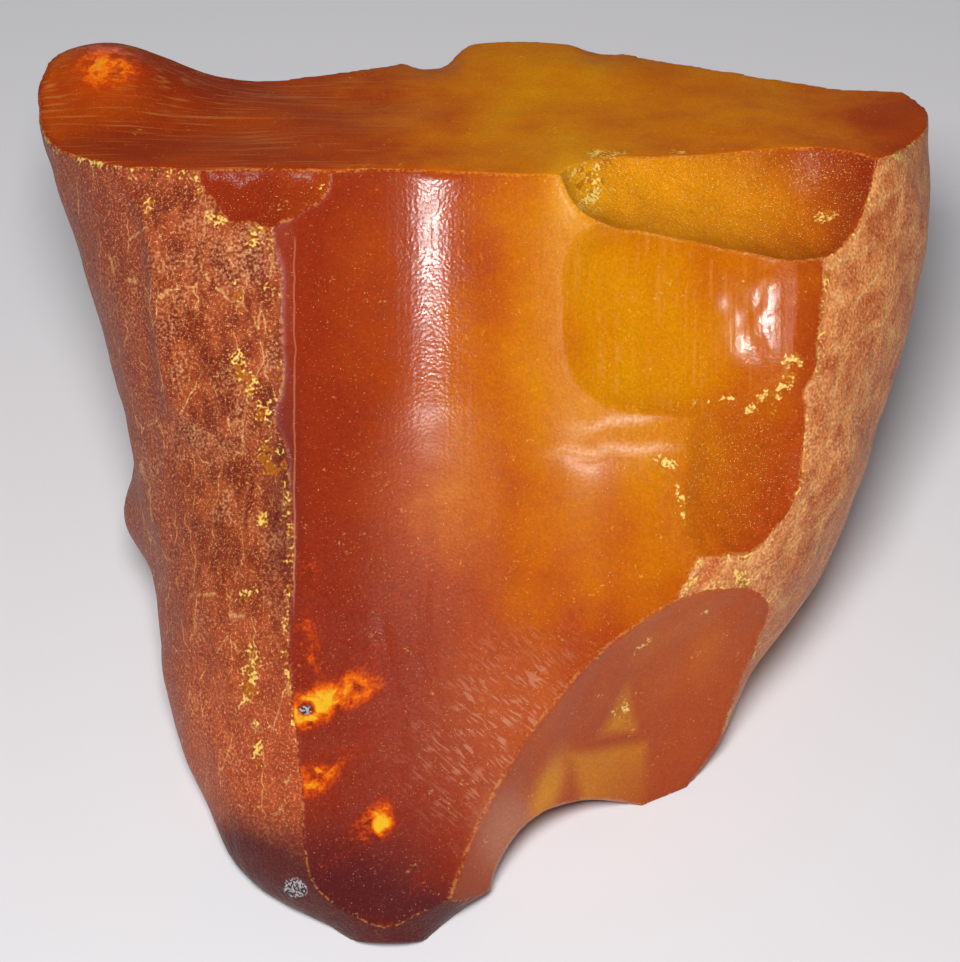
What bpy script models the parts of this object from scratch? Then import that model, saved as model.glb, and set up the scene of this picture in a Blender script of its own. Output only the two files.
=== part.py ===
"""Raw amber piece: one lump of amber in a weathered rind, broken open on several sides.

It is built the way it came about. A weathered nodule comes first. Each fracture is then
cut from it by a shell-shaped cutter, and last comes the flat that the stone rests on.

Shapes are worked out in the frame of the broken front face, in millimetres: x runs to the
right, s up along the face and z out of it. The frame is then leaned back over Z = 0.
"""

import math

import bmesh
import bpy
import numpy as np
from mathutils import Matrix, Vector, noise

MM = 0.001

# How the front face stands over the surface that the stone rests on
FACE_LEAN = math.radians(42.0)
FACE_HEIGHT = 23.5

# The weathered nodule: s, left, right, depth of the widest line, front, back
NODULE_STATIONS = (
    (36.0, -33.2, 32.2, -17.0, 2.6, -33.5),
    (26.0, -31.0, 31.6, -16.0, 2.6, -33.0),
    (17.0, -28.1, 31.2, -15.0, 2.6, -32.5),
    (8.5, -25.9, 29.4, -14.0, 2.6, -32.5),
    (0.0, -23.6, 26.8, -14.0, 2.6, -32.0),
    (-8.0, -23.0, 22.6, -14.5, 2.4, -30.0),
    (-14.0, -22.2, 18.6, -14.0, 2.2, -27.0),
    (-19.0, -20.5, 16.0, -12.5, 1.8, -22.5),
    (-24.0, -18.2, 12.4, -9.0, 0.8, -17.0),
    (-27.6, -15.5, 0.0, -6.6, -0.6, -12.0),
    (-29.4, -11.8, -2.0, -5.2, -1.8, -10.0),
    (-30.6, -7.2, -4.0, -4.4, -2.8, -8.0),
)
TIP_S = -31.2
RING_COUNT = 50
RING_SIDES = 80
STATION_BLUR = 1.6
LEFT_FRONT_POWERS = (1.9, 2.7)
LEFT_POWER_RANGE = (2.0, 20.0)
RIGHT_FRONT_POWER = 2.2
BACK_POWER = 2.5
# An old face at the upper left, weathered like the rest: its level, at x, and its slope
OLD_FACE_LEVEL = -0.8
OLD_FACE_X = -13.5
OLD_FACE_SLOPE = 0.2

# Waves of the rind, as wavelength and height
RIND_WAVES = ((9.0, 0.55), (3.6, 0.22))
# Knobs on the rind: x, s, z, radius, height
RIND_KNOBS = (
    (-24.0, -2.6, -17.0, 2.2, 2.0),
    (25.0, -9.0, -17.0, 3.5, 0.6),
)

# The front face: a shallow channel runs down it, beside a narrow flank
FACE_LEVEL = 0.6
CHANNEL_X = -4.0
CHANNEL_WIDTH = 10.0
CHANNEL_DEPTH = 2.3
CHANNEL_FADE = 0.5
FLANK_X = -12.2
FLANK_SLOPE = 0.4
FLANK_WIDTH = 1.3
FLANK_RISE = 0.9
RIGHT_FALL = 0.008
LOWER_FALL_RADIUS = 400.0
FACE_WAVE = (11.0, 0.12)

# The top break, a nearly flat fracture with a knob at its left end
TOP_CENTRE = (0.0, 25.5, -15.0)
TOP_FACING = (0.0, 0.94, 0.342)
TOP_WAVE = (9.0, 0.3)
# Swellings of the top break: across, back, radius across, radius back, height
TOP_SWELLINGS = (
    (-27.5, 9.0, 4.6, 6.0, 3.0),
    (4.0, 20.0, 6.0, 8.0, 0.9),
)

# Shell-shaped breaks: name, deepest point, facing, half width, half length, depth, power
SHELL_BREAKS = (
    ("upper_scoop", (14.2, 17.8, -4.5), (0.24, 0.59, 0.77), 8.7, 4.6, 2.0, 2.4),
    ("shell_scoop", (12.0, 10.8, -2.1), (0.16, 0.12, 0.98), 9.4, 6.6, 1.8, 2.8),
    ("ledge_upper", (9.8, 3.2, -1.1), (0.0, 0.15, 0.99), 3.2, 1.0, 0.7, 2.0),
    ("ledge_lower", (9.3, 1.1, -0.9), (0.0, 0.3, 0.95), 3.2, 1.0, 0.7, 2.0),
    ("grain_hollow", (17.2, 0.6, -2.0), (0.3, -0.05, 0.95), 5.0, 6.5, 1.0, 3.0),
    ("lower_bevel", (8.5, -17.5, -6.6), (0.534, -0.5, 0.681), 18.3, 18.3, 4.0, 2.0),
    ("foot_bite", (3.2, -23.2, -8.0), (0.62, -0.78, 0.05), 5.5, 18.0, 2.6, 2.0),
    ("edge_chip", (-14.0, 18.3, -1.6), (-0.1, 0.45, 0.89), 4.4, 2.1, 1.1, 2.0),
    ("back_break_left", (-13.0, 17.0, -27.5), (-0.3, 0.2, -0.93), 12.0, 18.0, 3.0, 2.0),
    ("back_break_right", (18.0, 14.0, -26.5), (0.46, 0.02, -0.89), 25.0, 28.0, 4.0, 2.0),
)
SHELL_REACH = 1.7
FACE_REACH = 40.0
TOP_REACH = 44.0
FACE_SPACING = 1.6
TOP_SPACING = 2.4
SHELL_CELLS = 24
CUTTER_HEIGHT = 24.0
FLOOR_SIZE = 120.0
SHARP_ANGLE = math.radians(35.0)

# The stone's own colour, for the plain model
AMBER_COLOUR = (0.55, 0.16, 0.03, 1.0)
AMBER_ROUGHNESS = 0.3


def waves(x, y, z, wave_list):
    """Smooth noise of several wavelengths, summed over arrays of points."""
    total = np.zeros(x.shape)
    for length, height in wave_list:
        points = zip(x.ravel() / length, y.ravel() / length, z.ravel() / length)
        values = [noise.noise(Vector(point)) for point in points]
        total += height * np.array(values).reshape(x.shape)
    return total


def station_columns(s):
    """The stations' sizes at every s, blurred so that no station shows as a crease."""
    table = np.array(NODULE_STATIONS)[::-1]
    offsets = np.linspace(-2.0, 2.0, 9) * STATION_BLUR
    weights = np.exp(-0.5 * (offsets / STATION_BLUR) ** 2)
    weights /= weights.sum()
    columns = []
    for index in range(1, 6):
        column = sum(
            weight * np.interp(s + offset, table[:, 0], table[:, index])
            for weight, offset in zip(weights, offsets)
        )
        columns.append(column)
    return columns


def nodule_points(ring_count, ring_sides):
    """Rings of points around the nodule, from its tip up past the top break."""
    low, high = TIP_S + 0.5, NODULE_STATIONS[0][0]
    rise = np.linspace(0.0, 1.0, ring_count) ** 1.15
    s = (low + (high - low) * rise)[:, None]
    left, right, widest, front, back = station_columns(s)
    turn = np.linspace(0.0, 2.0 * math.pi, ring_sides, endpoint=False)[None, :]
    cos_turn, sin_turn = np.cos(turn), np.sin(turn)
    at_front, at_left = sin_turn > 0.0, cos_turn < 0.0
    left_power = np.interp(s, LEFT_POWER_RANGE, LEFT_FRONT_POWERS)
    power = np.where(at_front, np.where(at_left, left_power, RIGHT_FRONT_POWER), BACK_POWER)
    middle = 0.5 * (left + right)
    half_width = 0.5 * (right - left)
    half_depth = np.where(at_front, front - widest, widest - back)
    x = middle + half_width * np.sign(cos_turn) * np.abs(cos_turn) ** (2.0 / power)
    z = widest + half_depth * np.sign(sin_turn) * np.abs(sin_turn) ** (2.0 / power)
    z = np.minimum(z, OLD_FACE_LEVEL + OLD_FACE_SLOPE * (x - OLD_FACE_X))
    s = np.broadcast_to(s, x.shape)
    out_x, out_z = x - middle, z - widest
    length = np.hypot(out_x, out_z)
    swell = waves(x, s, z, RIND_WAVES)
    for knob_x, knob_s, knob_z, radius, height in RIND_KNOBS:
        gap = (x - knob_x) ** 2 + (s - knob_s) ** 2 + (z - knob_z) ** 2
        swell += height * np.exp(-gap / (2.0 * radius ** 2))
    return x + swell * out_x / length, s, z + swell * out_z / length


def mesh_object(name, bm, parent):
    """A bmesh as an object in the face frame."""
    bmesh.ops.recalc_face_normals(bm, faces=bm.faces)
    if bm.calc_volume(signed=True) < 0.0:
        bmesh.ops.reverse_faces(bm, faces=bm.faces)
    mesh = bpy.data.meshes.new(name)
    bm.to_mesh(mesh)
    bm.free()
    mesh.shade_smooth()
    mesh.set_sharp_from_angle(angle=SHARP_ANGLE)
    obj = bpy.data.objects.new(name, mesh)
    bpy.context.scene.collection.objects.link(obj)
    obj.parent = parent
    return obj


def make_nodule(parent):
    """The weathered lump as it was before it broke."""
    x, s, z = nodule_points(RING_COUNT, RING_SIDES)
    bm = bmesh.new()
    rings = []
    for row in range(RING_COUNT):
        ring = [bm.verts.new(Vector(point) * MM) for point in zip(x[row], s[row], z[row])]
        rings.append(ring)
    for lower, upper in zip(rings, rings[1:]):
        for side in range(RING_SIDES):
            after = (side + 1) % RING_SIDES
            bm.faces.new((lower[side], lower[after], upper[after], upper[side]))
    tip = bm.verts.new(Vector((x[0].mean(), TIP_S, z[0].mean())) * MM)
    for side in range(RING_SIDES):
        bm.faces.new((tip, rings[0][(side + 1) % RING_SIDES], rings[0][side]))
    bm.faces.new(rings[-1])
    return mesh_object("amber_piece", bm, parent)


def facing_matrix(point, facing):
    """A frame whose z axis is the facing and whose x axis stays level with the face's."""
    out = Vector(facing).normalized()
    across = Vector((1.0, 0.0, 0.0))
    across = (across - out * across.dot(out)).normalized()
    along = out.cross(across)
    matrix = Matrix((across, along, out)).transposed().to_4x4()
    matrix.translation = Vector(point) * MM
    return matrix


def make_cutter(name, parent, point, facing, reach, cells, height):
    """A slab whose underside is a fracture surface and whose lid stands clear of the stone."""
    bm = bmesh.new()
    bmesh.ops.create_grid(bm, x_segments=cells, y_segments=cells, size=1.0)
    bmesh.ops.scale(bm, vec=(reach[0], reach[1], 1.0), verts=bm.verts)
    across = np.array([vert.co.x for vert in bm.verts])
    along = np.array([vert.co.y for vert in bm.verts])
    for vert, rise in zip(bm.verts, height(across, along)):
        vert.co.z = rise
    rim = [edge for edge in bm.edges if edge.is_boundary]
    wall = bmesh.ops.extrude_edge_only(bm, edges=rim)["geom"]
    lid = max(vert.co.z for vert in bm.verts) + CUTTER_HEIGHT
    for item in wall:
        if isinstance(item, bmesh.types.BMVert):
            item.co.z = lid
    bmesh.ops.holes_fill(bm, edges=[edge for edge in bm.edges if edge.is_boundary], sides=0)
    bmesh.ops.scale(bm, vec=(MM, MM, MM), verts=bm.verts)
    bm.transform(facing_matrix(point, facing))
    cutter = mesh_object(name, bm, parent)
    cutter.hide_render = True
    cutter.display_type = "WIRE"
    return cutter


def face_height(x, s):
    """The broken front face: channel, flank, fall to the right and towards the tip."""
    fade = 1.0 - CHANNEL_FADE * np.clip((5.0 - s) / 35.0, 0.0, 1.0)
    channel = CHANNEL_DEPTH * fade * np.exp(-((x - CHANNEL_X) / CHANNEL_WIDTH) ** 2)
    past_flank = np.maximum(FLANK_X - x, 0.0)
    flank = FLANK_SLOPE * past_flank - FLANK_RISE * np.maximum(past_flank - FLANK_WIDTH, 0.0)
    right_fall = RIGHT_FALL * np.maximum(x + CHANNEL_X, 0.0) ** 2
    lower_fall = np.maximum(5.0 - s, 0.0) ** 2 / (2.0 * LOWER_FALL_RADIUS)
    wave = waves(x, s, np.zeros(x.shape), (FACE_WAVE,))
    return FACE_LEVEL - channel - flank - right_fall - lower_fall + wave


def top_height(across, back):
    """The top break: level, with slow waves and two swellings."""
    rise = waves(across, back, np.full(across.shape, 7.0), (TOP_WAVE,))
    for centre_across, centre_back, radius_across, radius_back, height in TOP_SWELLINGS:
        gap_across = (across - centre_across) / radius_across
        gap_back = (back - centre_back) / radius_back
        rise += height * np.exp(-0.5 * (gap_across ** 2 + gap_back ** 2))
    return rise


def shell_height(half_width, half_length, depth, power):
    """A shell-shaped hollow, as deep as stated at its rim."""
    def height(across, along):
        return depth * (np.abs(across / half_width) ** power + np.abs(along / half_length) ** power)
    return height


def make_fractures(parent):
    """One cutter for each break, the largest first."""
    face_cells = round(2.0 * FACE_REACH / FACE_SPACING)
    top_cells = round(2.0 * TOP_REACH / TOP_SPACING)
    face_facing, face_point = (0.0, 0.0, 1.0), (0.0, 0.0, 0.0)
    face_reach, top_reach = (FACE_REACH, FACE_REACH), (TOP_REACH, TOP_REACH)
    cutters = [
        make_cutter("face_break", parent, face_point, face_facing, face_reach, face_cells, face_height),
        make_cutter("top_break", parent, TOP_CENTRE, TOP_FACING, top_reach, top_cells, top_height),
    ]
    for name, point, facing, half_width, half_length, depth, power in SHELL_BREAKS:
        reach = (SHELL_REACH * half_width, SHELL_REACH * half_length)
        height = shell_height(half_width, half_length, depth, power)
        cutters.append(make_cutter(name, parent, point, facing, reach, SHELL_CELLS, height))
    return cutters


def make_floor():
    """A block below Z = 0, which cuts the flat that the stone rests on."""
    bm = bmesh.new()
    bmesh.ops.create_cube(bm, size=FLOOR_SIZE * MM)
    bmesh.ops.translate(bm, vec=(0.0, 0.0, -0.5 * FLOOR_SIZE * MM), verts=bm.verts)
    floor = mesh_object("rest_flat", bm, None)
    floor.hide_render = True
    floor.display_type = "WIRE"
    return floor


def amber_material():
    """Amber, in one colour for the plain model."""
    material = bpy.data.materials.new("amber")
    material.use_nodes = True
    shader = material.node_tree.nodes["Principled BSDF"]
    shader.inputs["Base Color"].default_value = AMBER_COLOUR
    shader.inputs["Roughness"].default_value = AMBER_ROUGHNESS
    shader.inputs["Metallic"].default_value = 0.0
    return material


def centre_stone(stone, face_frame):
    """Bring the middle of the stone's box over the origin."""
    bpy.context.view_layer.update()
    evaluated = stone.evaluated_get(bpy.context.evaluated_depsgraph_get())
    points = [evaluated.matrix_world @ vert.co for vert in evaluated.data.vertices]
    for axis in (0, 1):
        values = [point[axis] for point in points]
        face_frame.location[axis] -= 0.5 * (min(values) + max(values))
    bpy.context.view_layer.update()


def build():
    """Clear the scene, then make the stone."""
    for obj in list(bpy.data.objects):
        bpy.data.objects.remove(obj, do_unlink=True)
    face_frame = bpy.data.objects.new("face_frame", None)
    bpy.context.scene.collection.objects.link(face_frame)
    face_frame.rotation_euler = (FACE_LEAN, 0.0, 0.0)
    face_frame.location = (0.0, 0.0, FACE_HEIGHT * MM)
    stone = make_nodule(face_frame)
    stone.data.materials.append(amber_material())
    for cutter in make_fractures(face_frame) + [make_floor()]:
        cut = stone.modifiers.new(cutter.name, "BOOLEAN")
        cut.operation = "DIFFERENCE"
        cut.solver = "EXACT"
        cut.object = cutter
    centre_stone(stone, face_frame)
    return stone


build()
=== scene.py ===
"""Raw amber piece, dressed: the stone at full detail, on a pale surface in soft light."""

import math

import bmesh
import bpy
import numpy as np
from mathutils import Matrix, Vector, kdtree, noise


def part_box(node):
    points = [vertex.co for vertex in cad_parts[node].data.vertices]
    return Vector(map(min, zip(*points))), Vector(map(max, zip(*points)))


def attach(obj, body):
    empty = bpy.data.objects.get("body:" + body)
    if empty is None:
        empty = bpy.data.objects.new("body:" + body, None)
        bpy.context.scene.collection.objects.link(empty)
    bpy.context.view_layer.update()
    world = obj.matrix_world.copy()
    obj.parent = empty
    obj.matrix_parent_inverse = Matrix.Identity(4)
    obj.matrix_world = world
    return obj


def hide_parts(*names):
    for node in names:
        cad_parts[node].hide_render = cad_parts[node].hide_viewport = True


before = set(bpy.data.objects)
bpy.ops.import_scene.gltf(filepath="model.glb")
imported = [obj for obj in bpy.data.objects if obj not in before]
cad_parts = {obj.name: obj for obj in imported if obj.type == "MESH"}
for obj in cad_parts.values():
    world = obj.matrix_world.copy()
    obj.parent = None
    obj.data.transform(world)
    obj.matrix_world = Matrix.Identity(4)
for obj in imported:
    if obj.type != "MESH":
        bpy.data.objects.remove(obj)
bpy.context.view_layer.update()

# The stone
# One lump of fossil resin in a weathered rind. It was broken, not cut: every fresh face is
# a fracture. It is made as the nodule less one shell-shaped cutter for each break.

MM = 0.001
FACE_LEAN = math.radians(42.0)
FACE_HEIGHT = 23.5

# Nodule stations: s, left, right, depth of the widest line, front, back
NODULE_STATIONS = (
    (36.0, -33.2, 32.2, -17.0, 2.6, -33.5),
    (26.0, -31.0, 31.6, -16.0, 2.6, -33.0),
    (17.0, -28.1, 31.2, -15.0, 2.6, -32.5),
    (8.5, -25.9, 29.4, -14.0, 2.6, -32.5),
    (0.0, -23.6, 26.8, -14.0, 2.6, -32.0),
    (-8.0, -23.0, 22.6, -14.5, 2.4, -30.0),
    (-14.0, -22.2, 18.6, -14.0, 2.2, -27.0),
    (-19.0, -20.5, 16.0, -12.5, 1.8, -22.5),
    (-24.0, -18.2, 12.4, -9.0, 0.8, -17.0),
    (-27.6, -15.5, 0.0, -6.6, -0.6, -12.0),
    (-29.4, -11.8, -2.0, -5.2, -1.8, -10.0),
    (-30.6, -7.2, -4.0, -4.4, -2.8, -8.0),
)
TIP_S = -31.2
STATION_BLUR = 1.6
LEFT_FRONT_POWERS = (1.9, 2.7)
LEFT_POWER_RANGE = (2.0, 20.0)
RIGHT_FRONT_POWER = 2.2
BACK_POWER = 2.5
OLD_FACE_LEVEL = -0.5
OLD_FACE_X = -13.5
OLD_FACE_SLOPE = 0.2
RIND_WAVES = ((9.0, 0.55), (3.6, 0.22))
RIND_KNOBS = (
    (-24.0, -2.6, -17.0, 2.2, 2.0),
    (25.0, -9.0, -17.0, 3.5, 0.6),
)
# Ridge lines down the rind: both ends as x and s, height, half width
RIND_RIDGES = (
    ((-23.1, 21.8), (-21.6, 17.5), 0.7, 1.0),
    ((-21.6, 17.5), (-19.9, 5.3), 0.7, 1.0),
)
RING_COUNT = 190
RING_SIDES = 400
RING_CROWDING = 1.15

# Fine relief of the rind: slow pits, and grooves that run down the stone
RIND_PIT_SIZE = 1.5
RIND_PIT_DEPTH = 0.04
RIND_GROOVE_SIZE = 1.1
RIND_GROOVE_STRETCH = 5.0
RIND_GROOVE_DEPTH = 0.03
RIND_GROOVE_WIDTH = 0.10

FACE_LEVEL = 0.6
CHANNEL_X = -4.0
CHANNEL_WIDTH = 10.0
CHANNEL_DEPTH = 2.3
CHANNEL_FADE = 0.5
FLANK_X = -12.2
FLANK_SLOPE = 0.07
FLANK_WIDTH = 1.5
FLANK_RISE = 0.6
RIGHT_FALL = 0.008
RIGHT_FALL_START = 4.0
LOWER_START = 5.0
LOWER_LENGTH = 35.0
LOWER_FALL_RADIUS = 400.0
FACE_WAVES = ((11.0, 0.03), (2.2, 0.006))
# Stripes along the channel: height, middle, half width, how long they are drawn out, waves
STRIPE_HEIGHT = 0.006
STRIPE_X = -3.0
STRIPE_HALF_WIDTH = 4.0
STRIPE_STRETCH = 60.0
STRIPE_WAVES = ((0.9, 1.0), (0.45, 0.5))
# Flow ridges low on the face: x and s of both ends, height, half width
FLOW_RIDGES = (
    (-6.3, -8.0, -5.2, -20.5, 0.10, 0.45),
    (-3.7, -4.0, -2.8, -19.0, 0.08, 0.30),
)
FLOW_RIDGE_SWAY = 0.3
FLOW_RIDGE_TURN = 0.5
# Step ledges under the shell scoop: middle, level, lean, half width, height
LEDGE_STEPS = (
    (9.7, 4.1, 0.17, 3.4, 0.2),
    (8.7, 2.1, 0.04, 3.7, 0.22),
)
LEDGE_DROP = 0.28
LEDGE_RETURN = 0.6
LEDGE_RAGGED = ((1.6, 0.5),)

TOP_CENTRE = (0.0, 25.5, -15.0)
TOP_FACING = (0.0, 0.94, 0.342)
TOP_WAVES = ((9.0, 0.3), (2.6, 0.05))
# Chips in the far edge of the top break: across, half width, depth
TOP_NOTCH_START = 9.0
TOP_NOTCHES = (
    (-3.4, 1.9, 1.1),
    (20.4, 0.9, 0.8),
    (-12.0, 1.2, 0.4),
    (9.0, 1.5, 0.35),
)
# Swellings of the top break: across, back, half sizes, height
TOP_SWELLINGS = (
    (-27.5, 9.0, 4.6, 6.0, 3.0),
    (4.0, 20.0, 6.0, 8.0, 0.9),
)

# Shell-shaped breaks: name, deepest point, facing, half width, half length, depth, the power
# of its curve across and along, spacing of the points, wavelength and height of the ripples
# across it, raggedness
SHELL_BREAKS = (
    ("upper_scoop", (14.4, 17.8, -4.5), (0.24, 0.59, 0.77),
     9.7, 4.6, 2.0, 5.0, 2.2, 0.2, 3.4, 0.04, 0.18),
    ("shell_scoop", (12.0, 10.8, -2.0), (0.13, 0.03, 0.99),
     9.4, 6.6, 1.62, 2.1, 3.8, 0.24, 0.8, 0.005, 0.07),
    ("grain_hollow", (17.2, 0.6, -2.0), (0.3, -0.05, 0.95),
     5.0, 6.5, 1.0, 3.0, 3.0, 0.24, 1.6, 0.02, 0.14),
    ("lower_bevel", (8.5, -17.5, -6.6), (0.534, -0.5, 0.681),
     18.3, 18.3, 4.0, 2.0, 2.0, 0.4, 4.0, 0.03, 0.05),
    ("foot_bite", (3.2, -23.2, -8.0), (0.62, -0.78, 0.05),
     5.5, 18.0, 2.6, 2.0, 2.0, 0.4, 0.0, 0.0, 0.14),
    ("edge_chip", (-14.0, 18.4, -1.2), (-0.1, 0.36, 0.93),
     4.6, 2.2, 0.45, 5.0, 3.0, 0.2, 0.0, 0.0, 0.22),
    ("back_left", (-13.0, 17.0, -27.5), (-0.3, 0.2, -0.93),
     12.0, 18.0, 3.0, 2.0, 2.0, 0.6, 3.4, 0.06, 0.1),
    ("back_right", (18.0, 14.0, -26.5), (0.46, 0.02, -0.89),
     25.0, 28.0, 4.0, 2.0, 2.0, 0.6, 4.2, 0.07, 0.1),
)
SHELL_REACH = 1.6
SHELL_RAGGED = ((2.6, 1.0), (1.0, 0.35))
# Ripples spread from a point this many half widths from the middle, and waver
RIPPLE_START = 1.1
RIPPLE_WAVER = ((5.0, 1.2),)
FACE_REACH = 34.0
TOP_REACH = 36.0
FACE_SPACING = 0.28
TOP_SPACING = 0.45
CUTTER_HEIGHT = 24.0
FLOOR_SIZE = 120.0
SURFACES = ["rind", "face", "top"] + [shell[0] for shell in SHELL_BREAKS] + ["rest"]


def waves(x, y, z, wave_list):
    """Smooth noise of several wavelengths, summed over arrays of points."""
    total = np.zeros(x.shape)
    for length, height in wave_list:
        points = zip(x.ravel() / length, y.ravel() / length, z.ravel() / length)
        values = [noise.noise(point) for point in points]
        total += height * np.array(values).reshape(x.shape)
    return total


def station_columns(s):
    """The stations' sizes at every s, blurred so that no station shows as a crease."""
    table = np.array(NODULE_STATIONS)[::-1]
    offsets = np.linspace(-2.0, 2.0, 9) * STATION_BLUR
    weights = np.exp(-0.5 * (offsets / STATION_BLUR) ** 2)
    weights /= weights.sum()
    return [
        sum(
            weight * np.interp(s + offset, table[:, 0], table[:, index])
            for weight, offset in zip(weights, offsets)
        )
        for index in range(1, 6)
    ]


def nodule_points():
    """Rings of points around the nodule, with the rind's lumps, grooves and pits."""
    low, high = TIP_S + 0.5, NODULE_STATIONS[0][0]
    rise = np.linspace(0.0, 1.0, RING_COUNT) ** RING_CROWDING
    s = (low + (high - low) * rise)[:, None]
    left, right, widest, front, back = station_columns(s)
    turn = np.linspace(0.0, 2.0 * math.pi, RING_SIDES, endpoint=False)[None, :]
    cos_turn, sin_turn = np.cos(turn), np.sin(turn)
    at_front, at_left = sin_turn > 0.0, cos_turn < 0.0
    left_power = np.interp(s, LEFT_POWER_RANGE, LEFT_FRONT_POWERS)
    power = np.where(at_front, np.where(at_left, left_power, RIGHT_FRONT_POWER), BACK_POWER)
    middle = 0.5 * (left + right)
    half_depth = np.where(at_front, front - widest, widest - back)
    x = middle + 0.5 * (right - left) * np.sign(cos_turn) * np.abs(cos_turn) ** (2.0 / power)
    z = widest + half_depth * np.sign(sin_turn) * np.abs(sin_turn) ** (2.0 / power)
    z = np.minimum(z, OLD_FACE_LEVEL + OLD_FACE_SLOPE * (x - OLD_FACE_X))
    s = np.broadcast_to(s, x.shape)
    out_x, out_z = x - middle, z - widest
    length = np.hypot(out_x, out_z)
    swell = waves(x, s, z, RIND_WAVES)
    for knob_x, knob_s, knob_z, radius, height in RIND_KNOBS:
        gap = (x - knob_x) ** 2 + (s - knob_s) ** 2 + (z - knob_z) ** 2
        swell += height * np.exp(-gap / (2.0 * radius ** 2))
    ridge = np.zeros(x.shape)
    for start, end, height, half_width in RIND_RIDGES:
        run_x, run_s = end[0] - start[0], end[1] - start[1]
        along = ((x - start[0]) * run_x + (s - start[1]) * run_s) / (run_x ** 2 + run_s ** 2)
        along = np.clip(along, 0.0, 1.0)
        gap = (x - start[0] - along * run_x) ** 2 + (s - start[1] - along * run_s) ** 2
        ridge = np.maximum(ridge, height * np.exp(-gap / half_width ** 2) * (z > widest))
    swell += ridge
    pits = waves(x, s, z, ((RIND_PIT_SIZE, 1.0),))
    swell -= RIND_PIT_DEPTH * np.maximum(pits, 0.0) * 2.0
    grooves = waves(x, s / RIND_GROOVE_STRETCH, z, ((RIND_GROOVE_SIZE, 1.0),))
    swell -= RIND_GROOVE_DEPTH * np.exp(-(grooves / RIND_GROOVE_WIDTH) ** 2)
    return x + swell * out_x / length, s, z + swell * out_z / length


def plain_mesh(name, bm, surface):
    """A bmesh as a closed object, every face marked with the surface that it belongs to."""
    bmesh.ops.recalc_face_normals(bm, faces=bm.faces)
    if bm.calc_volume(signed=True) < 0.0:
        bmesh.ops.reverse_faces(bm, faces=bm.faces)
    for face in bm.faces:
        face.material_index = SURFACES.index(surface)
    mesh = bpy.data.meshes.new(name)
    bm.to_mesh(mesh)
    bm.free()
    for _ in SURFACES:
        mesh.materials.append(None)
    obj = bpy.data.objects.new(name, mesh)
    bpy.context.scene.collection.objects.link(obj)
    return obj


def make_nodule():
    """The weathered lump as it was before it broke."""
    x, s, z = nodule_points()
    bm = bmesh.new()
    rings = []
    for row in range(RING_COUNT):
        points = np.stack([x[row], s[row], z[row]], axis=1) * MM
        rings.append([bm.verts.new(point) for point in points])
    for lower, upper in zip(rings, rings[1:]):
        for side in range(RING_SIDES):
            after = (side + 1) % RING_SIDES
            bm.faces.new((lower[side], lower[after], upper[after], upper[side]))
    tip = bm.verts.new(Vector((x[0].mean(), TIP_S, z[0].mean())) * MM)
    for side in range(RING_SIDES):
        bm.faces.new((tip, rings[0][(side + 1) % RING_SIDES], rings[0][side]))
    bm.faces.new(rings[-1])
    return plain_mesh("nodule", bm, "rind")


def facing_matrix(point, facing):
    """A frame whose z axis is the facing and whose x axis stays level with the face's."""
    out = Vector(facing).normalized()
    across = Vector((1.0, 0.0, 0.0))
    across = (across - out * across.dot(out)).normalized()
    matrix = Matrix((across, out.cross(across), out)).transposed().to_4x4()
    matrix.translation = Vector(point) * MM
    return matrix


def make_cutter(surface, point, facing, reach, spacing, height):
    """A slab whose underside is a fracture surface and whose lid stands clear of the stone."""
    bm = bmesh.new()
    cells = [max(8, round(2.0 * size / spacing)) for size in reach]
    bmesh.ops.create_grid(bm, x_segments=cells[0], y_segments=cells[1], size=1.0)
    across = np.array([vert.co.x for vert in bm.verts]) * reach[0]
    along = np.array([vert.co.y for vert in bm.verts]) * reach[1]
    rise = height(across, along)
    for vert, place in zip(bm.verts, np.stack([across, along, rise], axis=1)):
        vert.co = place
    rim = [edge for edge in bm.edges if edge.is_boundary]
    wall = bmesh.ops.extrude_edge_only(bm, edges=rim)["geom"]
    for item in wall:
        if isinstance(item, bmesh.types.BMVert):
            item.co.z = rise.max() + CUTTER_HEIGHT
    bmesh.ops.holes_fill(bm, edges=[edge for edge in bm.edges if edge.is_boundary], sides=0)
    bmesh.ops.scale(bm, vec=(MM, MM, MM), verts=bm.verts)
    bm.transform(facing_matrix(point, facing))
    return plain_mesh(surface, bm, surface)


def ledges(x, s):
    """Each step ledge: how far below its crest every point is, its share there, its height."""
    ragged = waves(x, np.zeros(x.shape), np.zeros(x.shape), LEDGE_RAGGED)
    for middle, level, lean, half_width, height in LEDGE_STEPS:
        below = level + lean * (x - middle) + ragged - s
        yield below, np.exp(-((x - middle) / half_width) ** 4), height


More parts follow.
